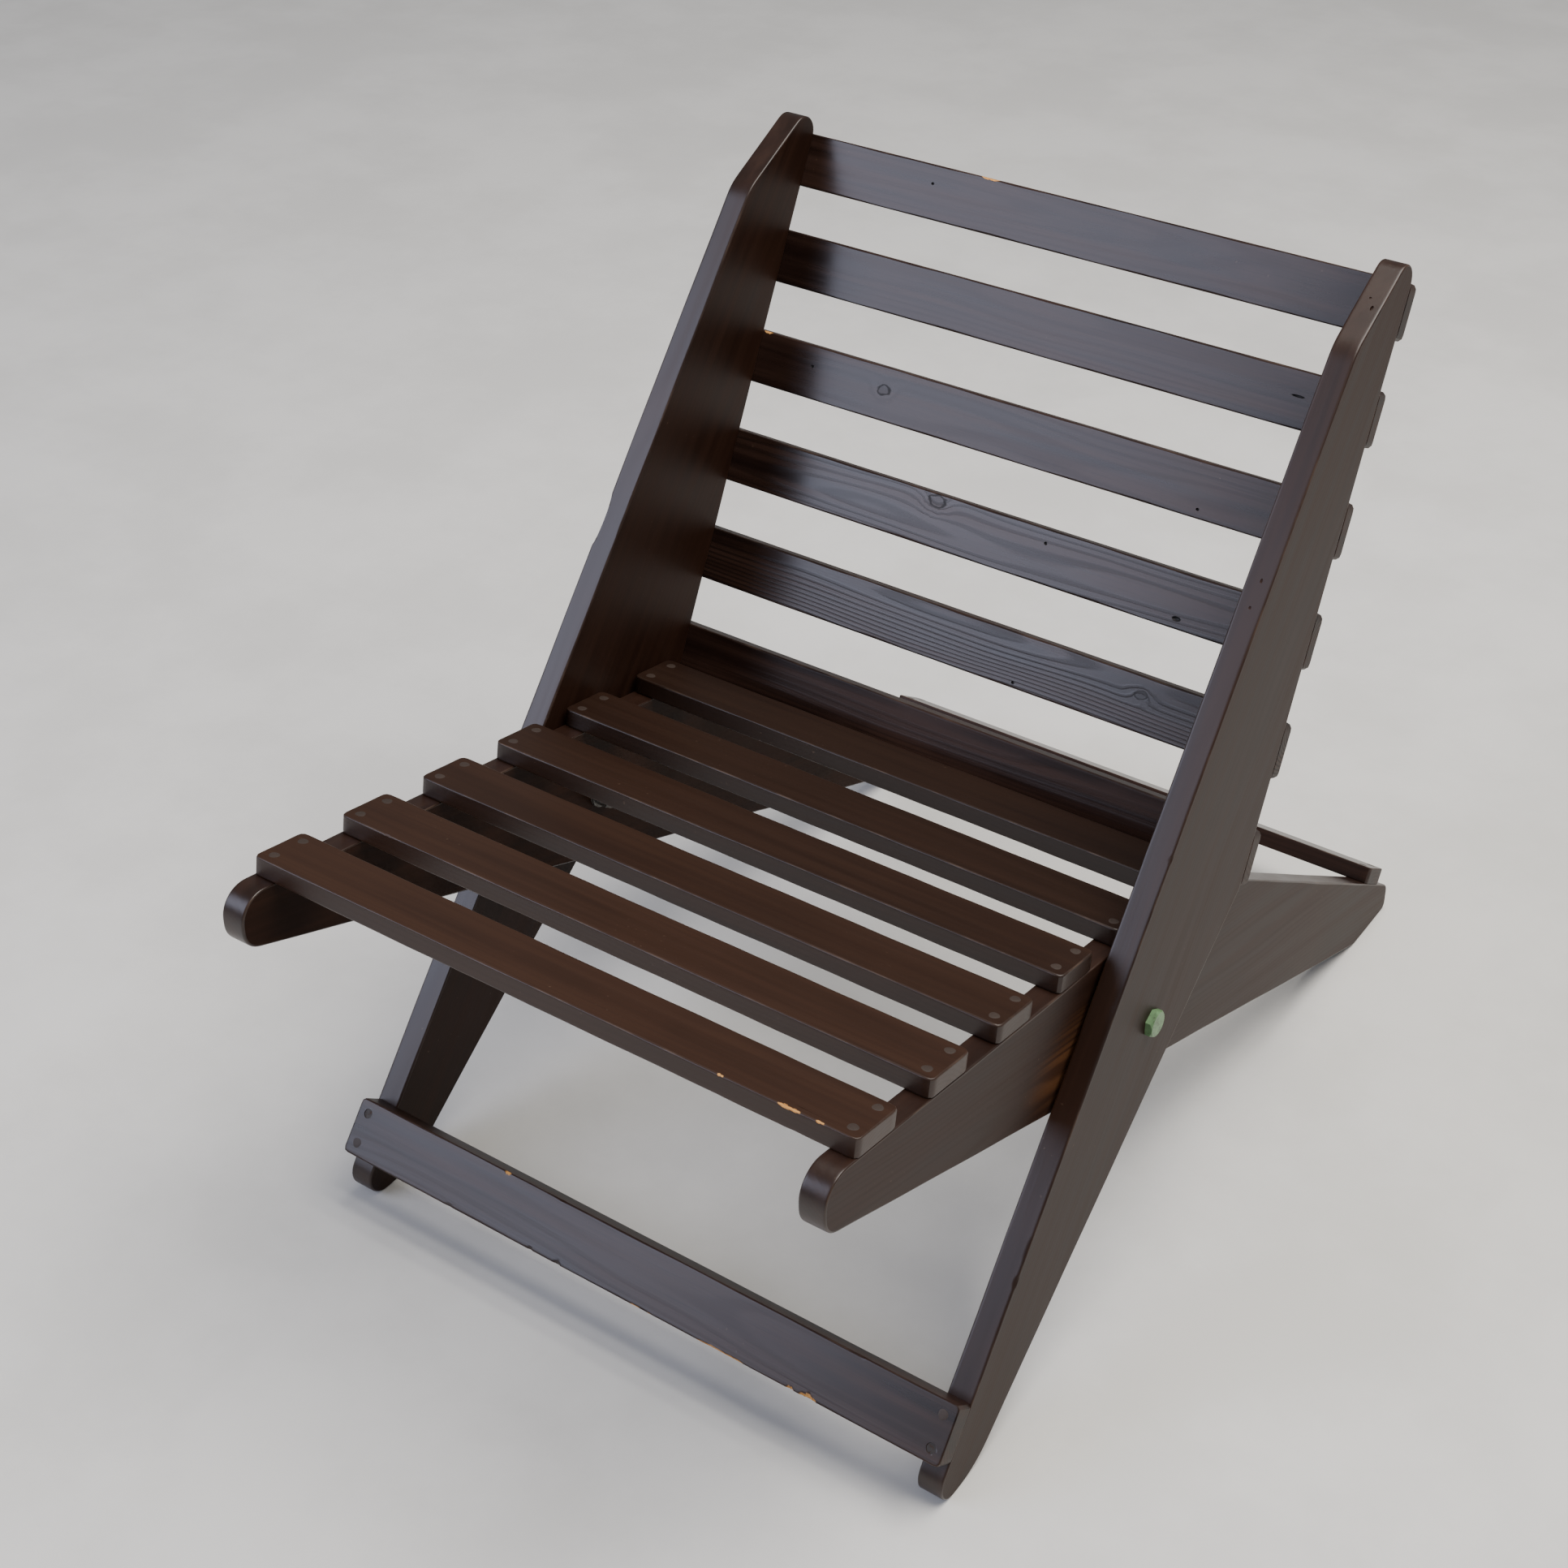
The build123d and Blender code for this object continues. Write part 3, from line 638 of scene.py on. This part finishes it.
for node, angle, body, slot_name in (("front_cross_rail", FRONT_ANGLE, "back_frame", "frame_wood"),
                                     ("rear_cross_rail", TAIL_ANGLE, "seat_frame", "slat_wood")):
    axes = slat_view(angle)
    if node == "front_cross_rail":
        chips = [slat_chip(node, axes, x, edge, 1, half, depth, fresh, lean)
                 for x, edge, half, depth, fresh, lean in FRONT_CHIPS]
        skip = OPEN_HEADS
    else:
        chips = [slat_chip(node, axes, 0.205, 1, 1, 0.005, 0.0012)]
        skip = ()
    bar = board(node + "_bar", node, axes, CROSS_ARRIS, 0.002, 0.0, chips, 1)
    if skip:
        low, high = slat_span(node, axes)
        ends = {False: low[0] + SCREW_FROM_END, True: high[0] - SCREW_FROM_END}
        cut_out(bar, node, axes, 0.0, [
            face_pit(node, axes, ends[right], CROSS_SCREW_STEP if upper else -CROSS_SCREW_STEP,
                     FILLER_RADIUS, FILLER_RADIUS, OPEN_HEAD_DEPTH, 0.9) for right, upper in sorted(skip)])
    for part, gloss, varnish in (("face", 0.27, 0.5), ("edge", 0.42, 0.18)):
        bar.data.materials.append(stained_pine(
            node + "_pine_" + part, 41.0 + angle / 30, SLAT_STAIN, (0.010, 0.022), 0.20, gloss,
            rub_and_highlight_share=0.5, varnish=varnish))
    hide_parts(node)
    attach(bar, body)
    filler_dots(node + "_fillers", [node], axes, 1, CROSS_SCREW_STEP, body, skip)

# ---- bolts, nuts, washers and screws ----
# The two hexagon bolts were brushed with a pale green paint that has worn off their edges. The
# washers and lock nuts inside are zinc plated and gone dull, and the screws are dark steel.


def metal(name, paint, under, metallic, rough, patchy):
    """Aged metal or paint on metal: a mottled coat over an under colour that shows in small patches."""
    material = bpy.data.materials.new(name)
    material.use_nodes = True
    tree = material.node_tree
    tree.nodes.clear()
    spot = add(tree, "TexCoord")[3]
    fine = add(tree, "TexNoise", [("Vector", spot), ("Scale", 700.0), ("Detail", 4.0)])[0]
    broad = add(tree, "TexNoise", [("Vector", spot), ("Scale", 120.0), ("Detail", 3.0)])[0]
    shade = tuple(0.55 * c for c in paint[:3]) + (1.0,)
    colour = blend_colour(tree, steps(tree, broad, 0.35, 0.65, 0.0, 0.7), paint, shade)
    gone = sums(tree, "MULTIPLY", steps(tree, fine, 0.56, 0.62), steps(tree, broad, 0.4, 0.6, 0.0, patchy))
    colour = blend_colour(tree, gone, colour, under)
    rough = sums(tree, "MULTIPLY_ADD", fine, 0.2, rough - 0.1)
    bump = add(tree, "Bump", [("Height", sums(tree, "SUBTRACT", fine, gone)), ("Strength", 0.5),
                              ("Distance", 0.00012)])[0]
    shader = add(tree, "BsdfPrincipled", [("Base Color", colour), ("Roughness", rough), ("Normal", bump),
                                          ("Metallic", metallic)])[0]
    add(tree, "OutputMaterial", [("Surface", shader)])
    return material


green_paint = metal("worn_green_paint", (0.150, 0.285, 0.130, 1.0), (0.06, 0.055, 0.04, 1.0),
                    0.0, 0.42, 0.8)
dull_zinc = metal("dull_zinc", (0.16, 0.155, 0.145, 1.0), (0.07, 0.045, 0.03, 1.0), 0.75, 0.48, 0.8)
dark_steel = metal("dark_screw_steel", (0.060, 0.052, 0.046, 1.0), (0.05, 0.025, 0.015, 1.0),
                   0.6, 0.5, 0.9)
finishes = ((green_paint, ("pivot_bolts",)),
            (dull_zinc, ("spacer_washers", "nut_washers", "lock_nuts")),
            (dark_steel, ("back_slat_screws", "seat_slat_screws", "front_rail_screws",
                          "rear_rail_screws")))
for finish, nodes in finishes:
    for node in nodes:
        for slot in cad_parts[node].material_slots:
            slot.material = finish

# ---- floor, light and camera ----
# A plain pale floor with a faint mottle, a large cool window to the front left, a soft overhead and
# the camera.

FLOOR_SIZE = 9.0
mesh = bpy.data.meshes.new("studio_floor")
corners = np.array([[-1, -1, 0], [1, -1, 0], [1, 1, 0], [-1, 1, 0]]) * FLOOR_SIZE
mesh.from_pydata(corners.tolist(), [], [(0, 1, 2, 3)])
floor = bpy.data.objects.new("studio_floor", mesh)
bpy.context.scene.collection.objects.link(floor)
pale = bpy.data.materials.new("pale_floor")
pale.use_nodes = True
tree = pale.node_tree
tree.nodes.clear()
spot = add(tree, "TexCoord")[3]
mottle = add(tree, "TexNoise", [("Vector", spot), ("Scale", 4.0), ("Detail", 8.0), ("Roughness", 0.62)])[0]
tint = blend_colour(tree, steps(tree, mottle, 0.36, 0.64), (0.83, 0.82, 0.79, 1.0), (0.75, 0.74, 0.71, 1.0))
shader = add(tree, "BsdfPrincipled", [("Base Color", tint), ("Roughness", 0.65)])[0]
add(tree, "OutputMaterial", [("Surface", shader)])
floor.data.materials.append(pale)
floor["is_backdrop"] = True

world = bpy.data.worlds.new("room")
world.use_nodes = True
world.node_tree.nodes["Background"].inputs["Color"].default_value = (0.93, 0.96, 1.0, 1.0)
world.node_tree.nodes["Background"].inputs["Strength"].default_value = 0.20
bpy.context.scene.world = world


def soft_light(name, place, aim, size, power, colour):
    """A large rectangular light at a place, facing a point, unseen by the camera itself."""
    lamp = bpy.data.lights.new(name, "AREA")
    lamp.shape = "RECTANGLE"
    lamp.size, lamp.size_y = size
    lamp.energy = power
    lamp.color = colour
    made = bpy.data.objects.new(name, lamp)
    bpy.context.scene.collection.objects.link(made)
    back = np.array(place, float) - np.array(aim, float)
    back /= np.linalg.norm(back)
    right = np.cross([0.0, 0.0, 1.0], back)
    right /= np.linalg.norm(right)
    up = np.cross(back, right)
    matrix = np.eye(4)
    matrix[:3, :3] = np.stack([right, up, back], axis=1)
    matrix[:3, 3] = place
    made.matrix_world = Matrix(matrix.tolist())
    made.visible_camera = False
    return made


soft_light("window", (-2.75, -3.3, 2.9), (0.0, 0.0, 2.9), (3.0, 3.22), 150.0, (0.74, 0.785, 1.0))
soft_light("overhead", (1.0, 0.5, 3.4), (0.1, 0.0, 0.2), (2.6, 2.6), 180.0, (1.0, 0.955, 0.90))

lens = bpy.data.cameras.new("camera")
lens.sensor_width = 36.0
lens.lens = 58.434
lens.shift_x = -0.06584
lens.shift_y = -0.15000
camera = bpy.data.objects.new("camera", lens)
bpy.context.scene.collection.objects.link(camera)
camera_matrix = np.eye(4)
camera_matrix[:3, 0] = (0.83506, 0.55001, 0.01360)
camera_matrix[:3, 1] = (-0.28208, 0.40681, 0.86890)
camera_matrix[:3, 2] = (0.47236, -0.72940, 0.49485)
camera_matrix[:3, 3] = (0.83718, -1.30158, 1.36433)
camera.matrix_world = Matrix(camera_matrix.tolist())
bpy.context.scene.camera = camera

low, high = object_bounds()
